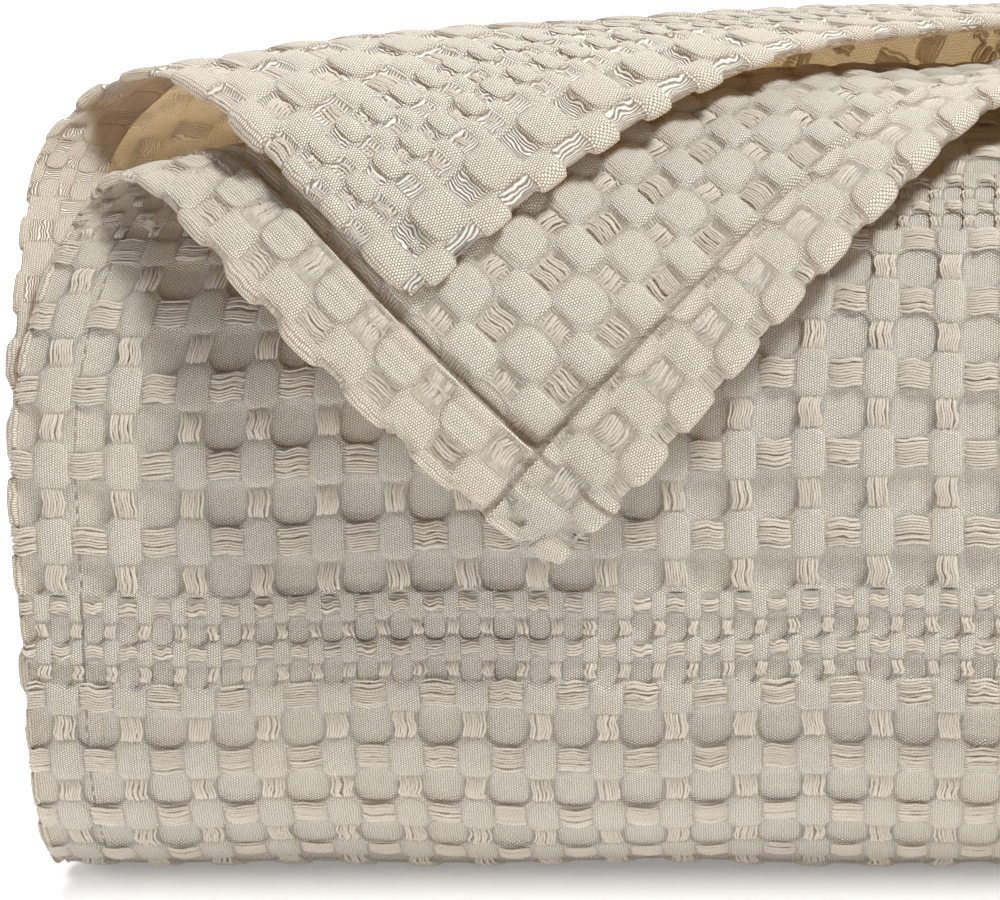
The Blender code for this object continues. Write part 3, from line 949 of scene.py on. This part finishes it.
wide = clothWidth / weave["repeatAcross"]
frontEnd = float(weaveRow(np.array(modelled["frontEnd"]), "outer"))
spots = {  # the floats between these columns and rows
    "yarns-front": bundleSpots("outer", (-0.2, 15.4), (-13, frontEnd), outerFace),
    "yarns-right": bundleSpots("outer", (15.4, 28.0), (-14.5, frontEnd), outerFace),
    "yarns-flap": bundleSpots("outer", (0.9, 23.0), (-13.5, -2), outerFlap),
    "yarns-inner": bundleSpots("inner", (wide - 24, wide), (-6.5, 4), innerFlap),
    "yarns-hem": np.concatenate([
        bundleSpots("outer", (-1.2, -0.2), (-14.5, -4.5), hemOfFlap),
        bundleSpots("outer", (0.4, 23.0), (-16, -15), lambda across, length: True)]),
}
for name in ("yarns-flap", "yarns-inner"):  # the other side's floats run the other way
    spots[name][:, 2] = 1.0 - spots[name][:, 2]
bundles = (  # piece, layer, side of the cloth, heights, steps along a yarn, points across it
    ("yarns-front", "outer", 1.0, "face", 6, 4),
    ("yarns-right", "outer", 1.0, "face", 4, 3),
    ("yarns-flap", "outer", -1.0, "flap", 6, 4),
    ("yarns-inner", "inner", 1.0, "flap", 6, 4),
    ("yarns-hem", "outer", 1.0, "flap", 5, 4),
)
for name, layer, face, heights, *points in bundles:
    pieces.append(yarnPiece(name, layer, spots[name], face, yarnHeights[heights], *points,
                            yarnCotton))

line = np.arange(sewing["start"], footEnd - sewing["stop"], sewing["pitch"])
turnedLine = [v for v in line if v < sewing["turnedStop"]]
outerStitches = [(hem["stitch"], v, 1.0) for v in line]
outerStitches += [(-math.pi * hem["side"] - hem["stitch"], v, 1.0) for v in turnedLine]
outerStitches += [(a, -math.pi * hem["end"] - hem["stitch"], 0.0)
                  for a in np.arange(sewing["hemStart"], sewing["hemStop"], sewing["pitch"])]
innerStitches = [(clothWidth - hem["stitch"], v, 1.0) for v in turnedLine]
innerStitches += [(clothWidth - a, hem["stitch"], 0.0)
                  for a in np.arange(sewing["start"], sewing["hemStop"], sewing["pitch"])]
for name, layer, places in (("stitches-outer", "outer", outerStitches),
                            ("stitches-inner", "inner", innerStitches)):
    pieces.append(stitchPiece(name, layer, np.array(places), 1.0, yarnCotton))
print("yarns and stitches made")

hemStrip = hem["width"] + hem["turnIn"]
parts = {  # each part of the blanket: width and length of its cloth
    "outer-front": (cloth["cut"] + hemStrip, footEnd + hemStrip),
    "outer-right": (underStart - cloth["cut"], footEnd + hemStrip),
    "inner-front": (cloth["cut"] + hemStrip, footEnd + hemStrip),
    "inner-right": (clothWidth - cloth["cut"] - underEnd, footEnd + hemStrip),
    "outer-rest": (underStart + hemStrip, stripLength - footEnd),
    "under-layers": (underEnd - underStart, stripLength + hemStrip),
    "inner-rest": (clothWidth - underEnd + hemStrip, stripLength - footEnd),
}
for name, flat in parts.items():
    print(name, "flat", np.round(flat, 3))

total = 0
for piece in pieces:
    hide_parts("blanket")
    piece.data.calc_loop_triangles()
    count = len(piece.data.loop_triangles)
    total += count
    print(piece.name, count)
print("triangles", total)

# camera, light and floor

view = dict(
    distance=0.9, elevation=math.radians(10), focal=4.147, sensor=36.0,
    pictureWidth=1000, aimX=874.7, aimU=0.1864, aimZ=0.1082,
)
camera = bpy.data.objects.new("camera", bpy.data.cameras.new("camera"))
bpy.context.scene.collection.objects.link(camera)
away, above = (view["distance"] * turn(view["elevation"]) for turn in (math.cos, math.sin))
camera.location = (view["aimU"] - fold["stripWidth"] / 2 - centreX,
                   -fold["pileDepth"] / 2 - centreY - away, view["aimZ"] + above)
camera.rotation_euler = (math.radians(90) - view["elevation"], 0.0, 0.0)
camera.data.sensor_width = view["sensor"]
camera.data.lens = view["sensor"] * view["focal"]
camera.data.shift_x = (view["pictureWidth"] / 2 - view["aimX"]) / view["pictureWidth"]
camera.data.clip_start, camera.data.clip_end = 0.01, 20.0
bpy.context.scene.camera = camera

stage = dict(
    halfSize=4.0, colour=(0.85, 0.86, 0.88, 1.0), roughness=0.9, glow=0.59,
    pile=((0.0, 0.200), (0.0225, 0.1485)),  # the middle and half width of its foot, each way
    # the glow at the foot and the range it fades over paint a contact shadow around the pile
    footShadowRange=(-0.012, 0.044), farRange=(0.9, 3.6), footShadowGlow=(0.24, 0.24, 0.24, 1.0),
    nearGlow=(1.42, 1.42, 1.42, 1.0), farGlow=(1.7, 1.68, 1.65, 1.0),
    sky=(1.0, 0.975, 0.94, 1.0), skyStrength=0.15, lampAim=(0, 0, 0.1),
)
lamps = (  # name, place, size, watts, colour
    ("key", (1.0, -0.75, 2.25), 0.60, 98, (0.96, 1.0, 1.03)),
    ("back", (-0.3, 1.2, 1.5), 1.7, 42, (0.98, 1.0, 1.02)),
    ("side", (-1.5, -0.8, 0.5), 0.9, 4, (0.98, 1.0, 1.02)),
)


def paleFloor():
    # the floor's own glow is dimmed beside the pile's foot as a painted contact shadow, and is
    # stronger far behind it
    paint = bpy.data.materials.new("pale floor")
    paint.use_nodes = True
    tree = paint.node_tree
    calc = partial(mathNode, tree)
    ground = splitVector(tree, tree.nodes.new("ShaderNodeTexCoord").outputs["Object"])
    squares = []
    for axis, (centre, half) in enumerate(stage["pile"]):
        off = calc("ABSOLUTE", calc("SUBTRACT", ground[axis], centre))
        beside = calc("MAXIMUM", calc("SUBTRACT", off, half), 0.0)
        squares.append(calc("POWER", beside, 2.0))
    away = calc("SQRT", calc("ADD", *squares))
    near = mixColour(tree, smoothRange(tree, away, *stage["footShadowRange"]),
                     stage["footShadowGlow"], stage["nearGlow"])
    glow = mixColour(tree, smoothRange(tree, away, *stage["farRange"]), near, stage["farGlow"])
    feed(tree, tree.nodes["Principled BSDF"],
         {"Base Color": stage["colour"], "Roughness": stage["roughness"],
          "Emission Color": glow, "Emission Strength": stage["glow"]})
    return paint


build = bmesh.new()
bmesh.ops.create_grid(build, x_segments=1, y_segments=1, size=stage["halfSize"])
floorMesh = bpy.data.meshes.new("floor")
build.to_mesh(floorMesh)
build.free()
floorMesh.materials.append(paleFloor())
floor = bpy.data.objects.new("floor", floorMesh)
bpy.context.scene.collection.objects.link(floor)

for name, place, size, watts, colour in lamps:
    data = bpy.data.lights.new(name, "AREA")
    data.shape, data.size, data.energy, data.color = "DISK", size, watts, colour
    light = bpy.data.objects.new(name, data)
    light.location = place
    towards = Vector(np.subtract(stage["lampAim"], place))
    light.rotation_euler = towards.to_track_quat("-Z", "Y").to_euler()
    bpy.context.scene.collection.objects.link(light)
world = bpy.data.worlds.new("studio")
world.use_nodes = True
feed(world.node_tree, world.node_tree.nodes["Background"],
     {"Color": stage["sky"], "Strength": stage["skyStrength"]})
bpy.context.scene.world = world
bpy.context.scene.view_settings.view_transform = "Standard"
print("camera and light set")
